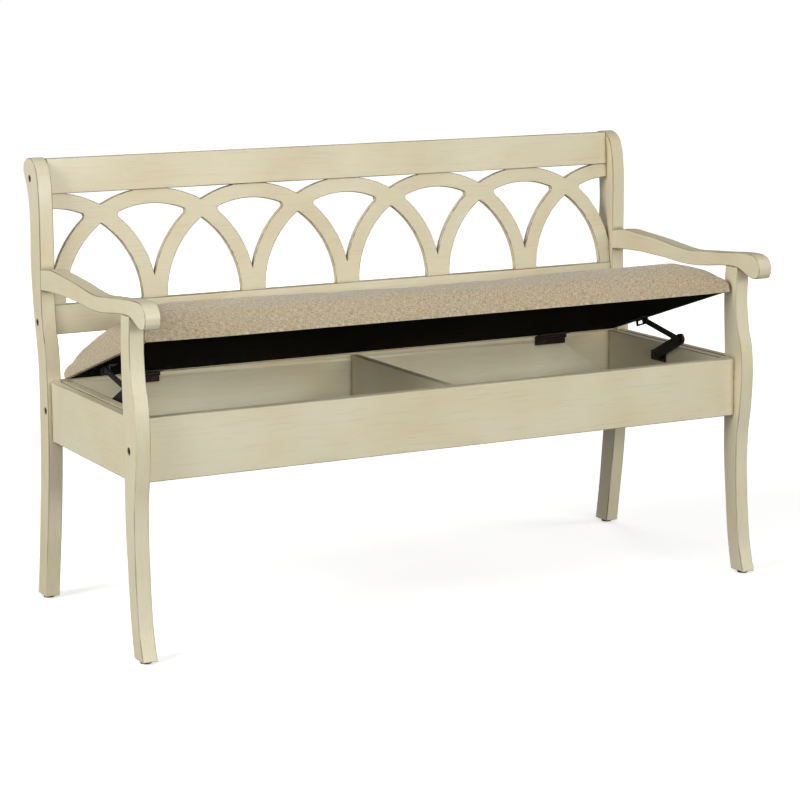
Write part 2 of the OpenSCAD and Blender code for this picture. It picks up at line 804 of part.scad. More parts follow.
// Screw that points up, through the bracket's foot into the seat board; u counts from the hinge axis.
module stay_lid_screw(u) {
    translate([tab_x0 - foot_w / 2, front_y + hinge_y - u, lid_under - stay_t]) {
        cylinder(r = screw_r, h = screw_len);
        translate([0, 0, -1.2]) cylinder(r = screw_head_r, h = 1.2);
    }
}

// Angle bracket under the lid: a foot on the board and a tab with the slot.
module stay_lid_bracket() {
    y0 = hinge_y - tip_travel[1] - rivet_r - 6;
    y1 = hinge_y - tip_travel[0] + rivet_r + 6;
    difference() {
        union() {
            block([tab_x0, tab_x1], [y0, y1], [slot_z - rivet_r - 3.5, lid_under]);
            block([tab_x0 - foot_w, tab_x1], [y0, y1], [lid_under - stay_t, lid_under]);
        }
        bar([hinge_y - tip_travel[1], slot_z], [hinge_y - tip_travel[0], slot_z],
            2 * (rivet_r + slot_gap), tab_x0 - 1, tab_x1 + 1);
        for (u = stay_lid_screw_u) stay_lid_screw(u);
    }
}

module left_stay_base() color("#303030") mirror([1, 0, 0]) stay_base();
module right_stay_base() color("#303030") stay_base();
module stay_base_screws() color("dimgray") both_sides() for (at = stay_screw_at) stay_base_screw(at);
module left_stay_lower_link() color("#303030") mirror([1, 0, 0]) stay_lower_link();
module right_stay_lower_link() color("#303030") stay_lower_link();
module left_stay_upper_link() color("#303030") mirror([1, 0, 0]) stay_upper_link();
module right_stay_upper_link() color("#303030") stay_upper_link();
module left_stay_lid_bracket() color("#303030") opened() mirror([1, 0, 0]) stay_lid_bracket();
module right_stay_lid_bracket() color("#303030") opened() stay_lid_bracket();
module stay_lid_screws() color("dimgray") opened() both_sides() for (u = stay_lid_screw_u) stay_lid_screw(u);

left_back_post();
right_back_post();
left_front_leg();
right_front_leg();
left_arm();
right_arm();
crest_rail();
arch_panel();
lower_back_rail();
front_apron();
back_apron();
left_side_apron();
right_side_apron();
left_box_side();
right_box_side();
center_divider();
box_bottom();
bottom_cleats();
arm_dowels();
side_apron_dowels();
rail_dowels();
connector_bolts();
insert_nuts();
foot_glides();
hinge_box_leaves();
hinge_pins();
hinge_box_screws();
left_stay_base();
right_stay_base();
stay_base_screws();
seat_board();
dust_cover();
seat_foam();
seat_cover();
hinge_lid_leaves();
hinge_lid_screws();
left_stay_lid_bracket();
right_stay_lid_bracket();
stay_lid_screws();
left_stay_lower_link();
right_stay_lower_link();
left_stay_upper_link();
right_stay_upper_link();
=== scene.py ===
"""Looks of the storage bench: paint and glaze on the CAD frame, an upholstered lid, and a studio."""
import json
import math

import bmesh
import bpy
import numpy as np
from mathutils import Matrix, Vector, noise


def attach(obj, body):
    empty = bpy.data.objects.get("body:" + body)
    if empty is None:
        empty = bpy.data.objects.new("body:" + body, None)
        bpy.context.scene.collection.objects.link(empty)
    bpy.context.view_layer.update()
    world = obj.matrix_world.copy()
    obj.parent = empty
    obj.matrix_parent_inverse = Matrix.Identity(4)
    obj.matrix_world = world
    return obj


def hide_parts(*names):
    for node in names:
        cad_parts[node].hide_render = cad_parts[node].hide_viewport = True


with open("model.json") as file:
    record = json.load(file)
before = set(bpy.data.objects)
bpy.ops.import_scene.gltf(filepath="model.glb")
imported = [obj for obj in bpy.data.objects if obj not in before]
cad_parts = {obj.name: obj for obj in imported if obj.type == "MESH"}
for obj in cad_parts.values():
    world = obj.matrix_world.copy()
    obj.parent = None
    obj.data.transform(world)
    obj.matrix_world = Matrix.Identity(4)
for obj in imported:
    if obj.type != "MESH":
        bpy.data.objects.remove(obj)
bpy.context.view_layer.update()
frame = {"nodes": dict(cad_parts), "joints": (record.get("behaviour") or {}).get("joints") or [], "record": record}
NODES = frame["nodes"]

# ---------------------------------------------------------------- camera

CAMERA_AT = (-2.1729, -4.1113, 1.2469)
CAMERA_YAW = math.radians(27.815)      # turned from +Y towards +X
CAMERA_PITCH = math.radians(7.786)     # looking down
CAMERA_ROLL = math.radians(-0.364)
LENS = 108.26
SHIFT_Y = -0.15                        # the photograph's uprights are nearly parallel


def make_camera():
    data = bpy.data.cameras.new("camera")
    data.lens = LENS
    data.sensor_width = 36
    data.shift_y = SHIFT_Y
    data.clip_end = 100
    camera = bpy.data.objects.new("camera", data)
    bpy.context.scene.collection.objects.link(camera)
    forward = Vector((math.sin(CAMERA_YAW) * math.cos(CAMERA_PITCH),
                      math.cos(CAMERA_YAW) * math.cos(CAMERA_PITCH),
                      -math.sin(CAMERA_PITCH)))
    level = Vector((math.cos(CAMERA_YAW), -math.sin(CAMERA_YAW), 0))
    above = level.cross(forward)
    right = level * math.cos(CAMERA_ROLL) + above * math.sin(CAMERA_ROLL)
    up = above * math.cos(CAMERA_ROLL) - level * math.sin(CAMERA_ROLL)
    turn = Matrix((right, up, -forward)).transposed().to_4x4()
    camera.matrix_world = Matrix.Translation(CAMERA_AT) @ turn
    bpy.context.scene.camera = camera


make_camera()

# ---------------------------------------------------------------- small helpers


def srgb(r, g, b):
    """Colour sockets take linear light: this turns a screen colour of 0 to 255 into it."""
    def channel(v):
        v /= 255
        return v / 12.92 if v <= 0.04045 else ((v + 0.055) / 1.055) ** 2.4
    return (channel(r), channel(g), channel(b), 1)


def new_object(name, verts, faces, smooth=True):
    mesh = bpy.data.meshes.new(name)
    mesh.from_pydata([tuple(v) for v in verts], [], faces)
    mesh.validate()
    piece = bpy.data.objects.new(name, mesh)
    bpy.context.scene.collection.objects.link(piece)
    if smooth:
        mesh.polygons.foreach_set("use_smooth", [True] * len(mesh.polygons))
    return piece


class Graph:
    """A material's node tree, with short calls for the nodes used here."""

    def __init__(self, name):
        self.material = bpy.data.materials.new(name)
        self.material.use_nodes = True
        self.tree = self.material.node_tree
        self.tree.nodes.clear()
        self.shader = self.add("ShaderNodeBsdfPrincipled")
        out = self.add("ShaderNodeOutputMaterial")
        self.join(self.shader.outputs["BSDF"], out.inputs["Surface"])
        self.place = self.add("ShaderNodeTexCoord").outputs["Object"]

    def add(self, kind, **values):
        node = self.tree.nodes.new(kind)
        for key, value in values.items():
            setattr(node, key, value)
        return node

    def join(self, a, b):
        self.tree.links.new(a, b)

    def feed(self, socket, value):
        if isinstance(value, bpy.types.NodeSocket):
            self.join(value, socket)
        else:
            socket.default_value = value

    def stretched(self, scale, turn=(0, 0, 0), source=None):
        node = self.add("ShaderNodeMapping")
        self.join(source or self.place, node.inputs["Vector"])
        node.inputs["Rotation"].default_value = turn
        node.inputs["Scale"].default_value = scale
        return node.outputs["Vector"]

    def noise(self, where, scale, detail=3, rough=0.55):
        node = self.add("ShaderNodeTexNoise")
        self.join(where, node.inputs["Vector"])
        node.inputs["Scale"].default_value = scale
        node.inputs["Detail"].default_value = detail
        node.inputs["Roughness"].default_value = rough
        return node.outputs["Fac"]

    def span(self, value, low, high, to_low=0, to_high=1):
        node = self.add("ShaderNodeMapRange", clamp=True)
        self.join(value, node.inputs["Value"])
        for key, number in (("From Min", low), ("From Max", high), ("To Min", to_low), ("To Max", to_high)):
            node.inputs[key].default_value = number
        return node.outputs["Result"]

    def math(self, kind, a, b=0.0):
        node = self.add("ShaderNodeMath", operation=kind)
        self.feed(node.inputs[0], a)
        self.feed(node.inputs[1], b)
        return node.outputs[0]

    def blend(self, factor, a, b, kind="MIX"):
        node = self.add("ShaderNodeMix", data_type="RGBA", blend_type=kind)
        self.feed(node.inputs["Factor"], factor)
        self.feed(node.inputs[6], a)
        self.feed(node.inputs[7], b)
        return node.outputs[2]

    def bump(self, height, distance, strength=1.0):
        node = self.add("ShaderNodeBump")
        self.join(height, node.inputs["Height"])
        node.inputs["Distance"].default_value = distance
        node.inputs["Strength"].default_value = strength
        return node.outputs["Normal"]

    def set(self, **values):
        names = {"colour": "Base Color", "rough": "Roughness", "normal": "Normal", "metal": "Metallic",
                 "sheen": "Sheen Weight", "sheen_rough": "Sheen Roughness", "coat": "Coat Weight",
                 "coat_rough": "Coat Roughness", "specular": "Specular IOR Level"}
        for key, value in values.items():
            self.feed(self.shader.inputs[names[key]], value)
        return self.material


# ---------------------------------------------------------------- materials

CREAM = srgb(214, 206, 179)
CREAM_WARM = srgb(206, 194, 161)
CREAM_COOL = srgb(208, 205, 176)
# The brown of the glaze along the edges; in inner corners the same colour also stands for painted shade.
GLAZE_AND_SHADE = srgb(104, 84, 52)
GLAZE_SOFT = srgb(150, 132, 95)
ALONG = {"x": (1, 22, 22), "y": (22, 1, 22), "z": (22, 22, 1)}


def paint_coat(g, direction):
    """Cream paint brushed along one direction: soft clouds of tone and fine streaks. Colour and height."""
    clouds = g.noise(g.place, 5, 2)
    patches = g.noise(g.stretched([1 + 0.1 * s for s in ALONG[direction]]), 9, 3)
    streaks = g.noise(g.stretched(ALONG[direction]), 12, 4, 0.65)
    fine = g.noise(g.stretched([s * s for s in ALONG[direction]]), 5, 2, 0.7)
    tone = g.blend(g.span(clouds, 0.35, 0.68), CREAM, CREAM_WARM)
    tone = g.blend(g.span(patches, 0.5, 0.75, 0, 0.6), tone, CREAM_COOL)
    tone = g.blend(g.span(streaks, 0.52, 0.78, 0, 0.22), tone, GLAZE_SOFT)
    height = g.math("ADD", g.math("MULTIPLY", streaks, 0.7), g.math("MULTIPLY", fine, 0.3))
    return tone, height, clouds


def crevice(g, reach):
    """1 in a tight inner corner, 0 on an open face. An ambient-occlusion mask, used to paint shade into corners.
    """
    node = g.add("ShaderNodeAmbientOcclusion", samples=6)
    node.inputs["Distance"].default_value = reach
    return g.span(node.outputs["AO"], 0.35, 0.9, 1, 0)


def cream_paint(direction):
    g = Graph("cream_paint_" + direction)
    tone, height, clouds = paint_coat(g, direction)
    # Painted shade, partly glaze too: ambient occlusion darkens inner corners towards the glaze colour, where
    # glaze gathers in the joints and where shade falls.
    glaze_and_painted_shade = g.math("MULTIPLY", crevice(g, 0.011), g.span(g.noise(g.place, 26, 3), 0.3, 0.7, 0.45, 0.9))
    colour = g.blend(glaze_and_painted_shade, tone, GLAZE_AND_SHADE)
    return g.set(colour=colour, rough=g.span(clouds, 0.3, 0.7, 0.42, 0.54), coat=0.12, coat_rough=0.3,
                 normal=g.bump(height, 0.0004, 0.5))


def glazed_edge(direction):
    """The brown glaze that stays along an eased edge, thin and rubbed off in places."""
    g = Graph("glazed_edge_" + direction)
    tone, height, clouds = paint_coat(g, direction)
    rub = g.noise(g.stretched(ALONG[direction]), 3.2, 3, 0.6)
    amount = g.span(rub, 0.34, 0.66, 0.25, 0.85)
    return g.set(colour=g.blend(amount, tone, GLAZE_AND_SHADE), rough=g.span(clouds, 0.3, 0.7, 0.45, 0.6),
                 coat=0.08, coat_rough=0.35, normal=g.bump(height, 0.0004, 0.6))


PAINT = {d: (cream_paint(d), glazed_edge(d)) for d in ALONG}


def bare_wood(name, light, dark, direction="x"):
    g = Graph(name)
    grain = g.noise(g.stretched(ALONG[direction]), 7, 5, 0.65)
    pores = g.noise(g.stretched([s * s for s in ALONG[direction]]), 3, 3, 0.7)
    colour = g.blend(g.span(grain, 0.35, 0.68), light, dark)
    colour = g.blend(g.span(pores, 0.55, 0.8, 0, 0.4), colour, dark)
    return g.set(colour=colour, rough=g.span(pores, 0.3, 0.7, 0.6, 0.75), normal=g.bump(grain, 0.0005, 0.6))


def dark_metal(name, base, worn, rough_low, rough_high, metal):
    """Blackened steel: fine pitting, cloudy wear to a lighter tone, and uneven gloss."""
    g = Graph(name)
    wear = g.noise(g.place, 60, 4, 0.6)
    pits = g.noise(g.place, 900, 2)
    colour = g.blend(g.span(wear, 0.5, 0.75), base, worn)
    return g.set(colour=colour, metal=metal, rough=g.span(wear, 0.3, 0.7, rough_low, rough_high),
                 normal=g.bump(pits, 0.0001, 0.6))


def glide_plastic():
    g = Graph("glide_plastic")
    scuffs = g.noise(g.stretched((90, 90, 300)), 3, 4)
    colour = g.blend(g.span(scuffs, 0.45, 0.75), srgb(62, 30, 26), srgb(98, 66, 56))
    return g.set(colour=colour, rough=g.span(scuffs, 0.3, 0.7, 0.35, 0.6), normal=g.bump(scuffs, 0.0002, 0.5))


def foam():
    g = Graph("foam")
    cells = g.noise(g.place, 700, 2)
    return g.set(colour=g.blend(g.span(cells, 0.4, 0.6), srgb(236, 226, 190), srgb(214, 202, 160)),
                 rough=g.span(cells, 0.3, 0.7, 0.85, 0.95), normal=g.bump(cells, 0.0005, 0.8))


THREAD = 0.0013       # pitch of the linen's threads


def linen():
    """Heathered plain weave: two sets of threads, slubs along both, and a soft nap. It needs the UV map."""
    g = Graph("linen")
    uv = g.add("ShaderNodeUVMap", uv_map="weave").outputs["UV"]
    split = g.add("ShaderNodeSeparateXYZ")
    g.join(uv, split.inputs[0])
    wobble = g.math("MULTIPLY", g.noise(g.stretched((1, 1, 1), source=uv), 160, 2), 0.0012)
    turns = 2 * math.pi / THREAD
    warp = g.math("SINE", g.math("MULTIPLY", g.math("ADD", split.outputs[0], wobble), turns))
    weft = g.math("SINE", g.math("MULTIPLY", g.math("ADD", split.outputs[1], wobble), turns))
    weave = g.math("MULTIPLY", warp, weft)
    slub_x = g.noise(g.stretched((115, 680, 1), source=uv), 1, 3, 0.7)
    slub_y = g.noise(g.stretched((680, 115, 1), source=uv), 1, 3, 0.7)
    speck = g.noise(g.stretched((1, 1, 1), source=uv), 430, 3, 0.8)
    cloud = g.noise(g.place, 9, 3)
    heather = g.math("ADD", g.math("MULTIPLY", slub_x, 0.5), g.math("MULTIPLY", slub_y, 0.5))
    colour = g.blend(g.span(heather, 0.41, 0.59), srgb(141, 124, 96), srgb(213, 199, 170))
    colour = g.blend(g.span(speck, 0.5, 0.7, 0, 0.6), colour, srgb(128, 111, 85))
    colour = g.blend(g.span(cloud, 0.35, 0.7, 0, 0.25), colour, srgb(190, 172, 143))
    height = g.math("ADD", g.math("MULTIPLY", weave, 0.35), g.math("MULTIPLY", heather, 1.2))
    return g.set(colour=colour, rough=g.span(heather, 0.3, 0.7, 0.8, 0.93), sheen=0.25, sheen_rough=0.5,
                 specular=0.25, normal=g.bump(height, 0.0005, 0.7))


def dust_cloth():
    g = Graph("dust_cloth")
    fibres = g.noise(g.stretched((1, 1, 1)), 420, 4, 0.7)
    folds = g.noise(g.place, 14, 2)
    colour = g.blend(g.span(fibres, 0.4, 0.7), srgb(3, 3, 3), srgb(10, 10, 10))
    return g.set(colour=colour, rough=g.span(fibres, 0.3, 0.7, 0.8, 0.95), specular=0.02,
                 normal=g.bump(g.math("ADD", fibres, folds), 0.0006, 0.6))


LINEN = linen()
DUST = dust_cloth()
BRONZE = dark_metal("hinge_bronze", srgb(34, 25, 22), srgb(60, 44, 37), 0.38, 0.55, 0.7)
STAY_BLACK = dark_metal("stay_black", srgb(9, 9, 9), srgb(24, 23, 23), 0.42, 0.58, 0.3)
BOLT_BLACK = dark_metal("bolt_black", srgb(24, 21, 19), srgb(58, 50, 43), 0.35, 0.5, 0.8)
SCREW_BLACK = dark_metal("screw_black", srgb(30, 25, 22), srgb(66, 56, 50), 0.35, 0.5, 0.8)
ZINC = dark_metal("zinc_steel", srgb(168, 168, 162), srgb(196, 194, 186), 0.3, 0.45, 1.0)
PLAIN = {
    "bare_wood": bare_wood("bare_wood", srgb(196, 160, 116), srgb(150, 112, 72)),
    "plywood": bare_wood("plywood", srgb(200, 168, 124), srgb(160, 122, 80)),
    "foam": foam(),
    "hinge_bronze": BRONZE,
    "stay_black": STAY_BLACK,
    "bolt_black": BOLT_BLACK,
    "screw_black": SCREW_BLACK,
    "zinc_steel": ZINC,
    "glide_plastic": glide_plastic(),
    "linen": LINEN,
    "dust_cloth": DUST,
}

# ---------------------------------------------------------------- CAD nodes: eased edges and materials

WOOD_EDGE = 0.0016
METAL_EDGE = 0.0004


def set_materials(node, *materials):
    node.data.materials.clear()
    for material in materials:
        node.data.materials.append(material)
    node.data.polygons.foreach_set("material_index", [0] * len(node.data.polygons))


def outer_corners(node):
    """A vertex group of a board's own corners, so that the rims of its screw holes stay sharp."""
    points = np.array([v.co[:] for v in node.data.vertices])
    ends = (np.abs(points - points.min(0)) < 1e-5) | (np.abs(points - points.max(0)) < 1e-5)
    group = node.vertex_groups.new(name="corners")
    group.add([int(i) for i in np.flatnonzero(ends.all(1))], 1, "REPLACE")
    return group.name


def ease_edges(node, width, edge_slot=-1, corners_only=False):
    """Rounds a CAD node's sharp edges with modifiers; the new faces take the material slot edge_slot."""
    if "custom_normal" in node.data.attributes:
        node.data.attributes.remove(node.data.attributes["custom_normal"])
    node.data.polygons.foreach_set("use_smooth", [True] * len(node.data.polygons))
    weld = node.modifiers.new("weld", "WELD")
    weld.merge_threshold = 1e-5
    flat = node.modifiers.new("flat", "DECIMATE")
    flat.decimate_type = "DISSOLVE"
    flat.angle_limit = math.radians(0.3)
    bevel = node.modifiers.new("bevel", "BEVEL")
    bevel.width = width
    bevel.segments = 3
    bevel.limit_method = "ANGLE"
    bevel.angle_limit = math.radians(35)
    bevel.harden_normals = True
    bevel.use_clamp_overlap = False
    bevel.miter_outer = "MITER_ARC"
    bevel.material = edge_slot
    if corners_only:
        bevel.limit_method = "VGROUP"
        bevel.vertex_group = outer_corners(node)


PAINTED = {
    "x": ["crest_rail", "arch_panel", "lower_back_rail", "front_apron", "back_apron", "box_bottom"],
    "y": ["left_arm", "right_arm", "left_side_apron", "right_side_apron", "left_box_side", "right_box_side",
          "center_divider"],
    "z": ["left_back_post", "right_back_post", "left_front_leg", "right_front_leg"],
}


def dress_cad_nodes():
    slots = {part["node"]: part["material_slot"] for part in frame["record"]["subparts"]}
    for direction, names in PAINTED.items():
        for name in names:
            set_materials(NODES[name], *PAINT[direction])
            ease_edges(NODES[name], WOOD_EDGE, 1, corners_only=name == "back_apron")
    painted = sum(PAINTED.values(), [])
    for name, node in NODES.items():
        if name in painted:
            continue
        set_materials(node, PLAIN[slots[name]])
        if "stay" in name or "hinge" in name:
            ease_edges(node, METAL_EDGE)


dress_cad_nodes()

# ---------------------------------------------------------------- the lid's own axes

lid_joint = next(j for j in frame["joints"] if j["name"] == "lid_hinge")
HINGE = Vector(lid_joint["pos_m"])
LID_OPEN = math.radians(-lid_joint["range_deg"][0])
FORWARD = Vector((0, -math.cos(LID_OPEN), math.sin(LID_OPEN)))
UPWARD = Vector((0, math.sin(LID_OPEN), math.cos(LID_OPEN)))


def lid_extent(name):
    """Ranges of a lid node along X, forward from the hinge axis, and up from it."""
    points = np.array([v.co[:] for v in NODES[name].data.vertices]) - np.array(HINGE)
    along = points @ np.array(FORWARD)
    up = points @ np.array(UPWARD)
    return (points[:, 0].min(), points[:, 0].max()), (along.min(), along.max()), (up.min(), up.max())


def on_lid(x, forward, up):
    return HINGE + Vector((x, 0, 0)) + FORWARD * forward + UPWARD * up


COVER_X, COVER_U, COVER_N = lid_extent("seat_cover")
UNDER = COVER_N[0]
BOARD_FRONT = lid_extent("seat_board")[1][1]
DUST_X, DUST_U, DUST_N = lid_extent("dust_cover")
DUST_T = DUST_N[1] - DUST_N[0]      # the dust sheet and its staples stay within this, over the box's rim
FOLD_LEVEL = DUST_N[1] - UNDER - 0.05 * DUST_T      # the fabric folded under the board, above the dust sheet
SEAT_W = COVER_X[1] - COVER_X[0]
SEAT_D = COVER_U[1] - COVER_U[0]
SEAT_H = COVER_N[1] - COVER_N[0]

# ---------------------------------------------------------------- the upholstered seat

EDGE_H = 0.012            # height of the fabric's upright edge at the seat's ends
SECTION = [(0, 12), (3, 25), (16, 39), (40, 50), (80, 58), (150, 66), (215, 69), (275, 71), (325, 71.5),
           (375, 70), (407, 66), (427, 57), (439, 42), (443, 25)]   # mm: from the rear edge, and up
LEFT_REACH = 0.075        # how far the ends take to curve up to full height
RIGHT_REACH = 0.095
CORNER = 0.008            # radius of the seat's corners, seen from above
HEM_DROP = 0.0025         # how far the fabric's front hem hangs below the board, in front of the box
HEM_WIDTH = 0.011
HEM_REACH = 0.2           # how far from the seat's ends the hem hangs in full


def quarter(distance, reach, power=2.0):
    """0 at an edge, rising like a quarter ellipse to 1 at reach."""
    t = min(max(distance / reach, 0), 1)
    return (1 - (1 - t) ** power) ** (1 / power)


MESH_STEP = 0.0105         # largest gap between the seat mesh's points

SECTION_U = np.array([u for u, _ in SECTION]) * SEAT_D / SECTION[-1][0]
SECTION_N = np.array([n for _, n in SECTION]) / 1000


def section_height(u):
    """The section's height at u, on a smooth curve through its points."""
    k = int(np.clip(np.searchsorted(SECTION_U, u) - 1, 0, len(SECTION_U) - 2))
    n = SECTION_N
    gap = SECTION_U[k + 1] - SECTION_U[k]
    t = (u - SECTION_U[k]) / gap
    slope = [(n[min(m + 1, len(n) - 1)] - n[max(m - 1, 0)])
             / (SECTION_U[min(m + 1, len(n) - 1)] - SECTION_U[max(m - 1, 0)]) for m in (k, k + 1)]
    h00, h01 = 2 * t ** 3 - 3 * t ** 2 + 1, 3 * t ** 2 - 2 * t ** 3
    h10, h11 = t ** 3 - 2 * t ** 2 + t, t ** 3 - t ** 2
    return h00 * n[k] + h01 * n[k + 1] + gap * (h10 * slope[0] + h11 * slope[1])


def seat_height(x, u):
    """Height of the seat's top above its underside, x and u measured from its middle and its rear edge."""
    reach, power = (LEFT_REACH, 2.1) if x < 0 else (RIGHT_REACH, 1.9)
    end = quarter(SEAT_W / 2 - abs(x), reach, power)
    return EDGE_H + (section_height(u) - EDGE_H) * end


def hem(x, u):
    """Height of the seat's underside: flat under the board, and hanging a little at its front edge."""
    t = min((SEAT_D - u) / HEM_WIDTH, 1)
    roll = math.sin(math.pi * (0.25 + 0.75 * t))
    return FOLD_LEVEL * t - HEM_DROP * roll * quarter(SEAT_W / 2 - abs(x), HEM_REACH)


def spread(length, first, largest):
    """Places along a length: first apart at both ends, and up to largest in the middle."""
    steps = [0]
    step = first
    while steps[-1] < length / 2:
        steps.append(steps[-1] + step)
        step = min(step * 1.25, largest)
    half = [v * (length / 2) / steps[-1] for v in steps]
    return half + [length - v for v in reversed(half[:-1])]


def seat_mesh():
    """Closed shell of the seat: a top grid, an upright edge and a flat bottom, with a UV map in metres."""
    xs = [v - SEAT_W / 2 for v in spread(SEAT_W, 0.002, MESH_STEP)]
    us = spread(SEAT_D, 0.0015, MESH_STEP)
    middle = SEAT_D / 2
    straight_x = SEAT_W / 2 - CORNER
    straight_u = middle - CORNER

    def rounded(x, u):
        """Pulls a point of the outline's corners in to a round corner."""
        cx = max(abs(x) - straight_x, 0)
        cu = max(abs(u - middle) - straight_u, 0)
        if cx == 0 or cu == 0:
            return x, u
        scale = max(cx, cu) / math.hypot(cx, cu)
        return (math.copysign(straight_x + cx * scale, x),
                middle + math.copysign(straight_u + cu * scale, u - middle))

    verts, uvs, faces = [], [], []
    rows = len(us)

    def grid(height):
        start = len(verts)
        for x in xs:
            for u in us:
                px, pu = rounded(x, u)
                n = height(x, u)
                verts.append(on_lid(px, COVER_U[0] + pu, UNDER + n))
                uvs.append((x - n * (2 * x / SEAT_W) ** 3, u + n * (1 - 2 * u / SEAT_D)))
        return start

    top = grid(seat_height)
    bottom = grid(hem)

    def index(start, i, j):
        return start + i * rows + j

    for i in range(len(xs) - 1):
        for j in range(rows - 1):
            corners = ((i, j), (i + 1, j), (i + 1, j + 1), (i, j + 1))
            faces.append(tuple(index(top, *c) for c in reversed(corners)))
            faces.append(tuple(index(bottom, *c) for c in corners))
    rim = ([(i, 0) for i in range(len(xs))] + [(len(xs) - 1, j) for j in range(1, rows)]
           + [(i, rows - 1) for i in range(len(xs) - 2, -1, -1)] + [(0, j) for j in range(rows - 2, 0, -1)])
    for k, (i, j) in enumerate(rim):
        i2, j2 = rim[(k + 1) % len(rim)]
        faces.append((index(top, i, j), index(top, i2, j2), index(bottom, i2, j2), index(bottom, i, j)))
    piece = new_object("seat_upholstery", verts, faces)
    layer = piece.data.uv_layers.new(name="weave")
    for loop in piece.data.loops:
        layer.data[loop.index].uv = uvs[loop.vertex_index]
    fix = bmesh.new()
    fix.from_mesh(piece.data)
    bmesh.ops.recalc_face_normals(fix, faces=fix.faces)
    fix.to_mesh(piece.data)
    fix.free()
    return piece


SWELL_CAP = 0.006         # furthest that the simulation may move a point
SIM_FRAMES = 20
PIN_HEIGHT = 0.9 * EDGE_H  # below this the fabric is stapled fast to the board
PIN_FADE = 0.05            # above it, the foam's hold on the fabric fades out over this height
PIN_SOFT = 0.5


def lid_coordinates(points):
    d = points - np.array(HINGE)
    return d[:, 0], d @ np.array(FORWARD), d @ np.array(UPWARD)


def swell(piece):
    """Blows the cover up a little over its foam with Cloth, its board edge pinned, and caps the movement."""
    mesh = piece.data
    rest = np.array([v.co[:] for v in mesh.vertices])
    _, _, up = lid_coordinates(rest)
    pin = piece.vertex_groups.new(name="pin")
    for i, height in enumerate(up - UNDER):
        hold = 1.0 if height < PIN_HEIGHT else max(0.0, PIN_SOFT - (height - EDGE_H) / PIN_FADE)
        if hold > 0:
            pin.add([i], hold, "REPLACE")
    cloth = piece.modifiers.new("cloth", "CLOTH")
    settings = cloth.settings
    settings.quality = 6
    settings.mass = 0.25
    settings.tension_stiffness = 18
    settings.compression_stiffness = 18
    settings.shear_stiffness = 10
    settings.bending_stiffness = 0.6
    settings.use_pressure = True
    settings.uniform_pressure_force = 3.0
    settings.shrink_min = -0.012
    settings.vertex_group_mass = "pin"
    settings.effector_weights.gravity = 0
    cloth.point_cache.frame_start = 1
    cloth.point_cache.frame_end = SIM_FRAMES
    scene = bpy.context.scene
    for f in range(1, SIM_FRAMES + 1):
        scene.frame_set(f)
    done = piece.evaluated_get(bpy.context.evaluated_depsgraph_get())
    moved = np.array([v.co[:] for v in done.data.vertices])
    piece.modifiers.remove(cloth)
    scene.frame_set(1)
    step = moved - rest
    length = np.linalg.norm(step, axis=1, keepdims=True)
    capped = rest + step * np.minimum(1, SWELL_CAP / np.maximum(length, 1e-9))
    mesh.vertices.foreach_set("co", capped.astype(np.float32).ravel())
    mesh.update()


FRONT_CLEAR = 0.0028      # the fabric's front stands this far off the board's edge
FRONT_HEIGHT = 0.03       # up to this height
FLAT_HEIGHT = 0.006       # no waves or pulls below this height
PULL_HEIGHT = 0.04        # the staples' pulls die out at this height
WAVE = 0.0016             # height of the foam's waves
PULL = 0.0005             # depth of the pulls


def settle(piece):
    """Small hand-made unevenness: soft waves in the foam and pulls where the fabric is stapled."""
    mesh = piece.data
    points = np.array([v.co[:] for v in mesh.vertices])
    x, forward, up = lid_coordinates(points)
    for i, vertex in enumerate(mesh.vertices):
        height = up[i] - UNDER
        short = BOARD_FRONT + FRONT_CLEAR - forward[i]
        if height < FRONT_HEIGHT and 0 < short < FRONT_CLEAR + 0.003:
            vertex.co = vertex.co + FORWARD * short
        if height < FLAT_HEIGHT:
            continue
        wave = noise.noise(Vector((x[i] * 5, forward[i] * 9, 3.1))) * WAVE
        pull = noise.noise(Vector((x[i] * 38, forward[i] * 38, 7.7))) * PULL
        near_edge = max(0.0, 1 - height / PULL_HEIGHT)
        gain = min(1.0, height / (PULL_HEIGHT / 2))
        vertex.co = vertex.co + UPWARD * (wave * gain * (1 - near_edge)) + UPWARD * (pull * near_edge * gain)
    mesh.update()


def make_seat():
    seat = seat_mesh()
    swell(seat)
    settle(seat)
    smooth = seat.modifiers.new("smooth", "SUBSURF")
    smooth.levels = smooth.render_levels = 1
    seat.data.materials.append(LINEN)
    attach(seat, "lid")
    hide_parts("seat_cover", "seat_foam")


make_seat()

# ---------------------------------------------------------------- dust cover and its staples

SAG = 0.0007
SAG_X, SAG_REAR, SAG_FRONT = 0.575, 0.015, 0.40   # inside the box, where the sheet may hang lower
SAG_REACH = 0.05                                  # how far in from there it takes to hang in full
SHEET_LEVEL = 0.35                                # depth of the sheet's middle, as a share of DUST_T
SHEET_T = 0.3 * DUST_T
WRINKLE = 0.0005
PUCKER = 0.1                                      # pulls between the staples, as a share of DUST_T
PUCKER_REACH = 0.03
PUCKERED_RIM = 0.05                               # along the long edges the pulls run along X
STAPLE_GAP = 0.045
STAPLE_L = 0.010
STAPLE_W = 0.0008
STAPLE_T = 0.4 * DUST_T
STAPLE_INSET = 0.008
REAR_ROW = 0.030          # the hinges leave no room for staples nearer the rear edge


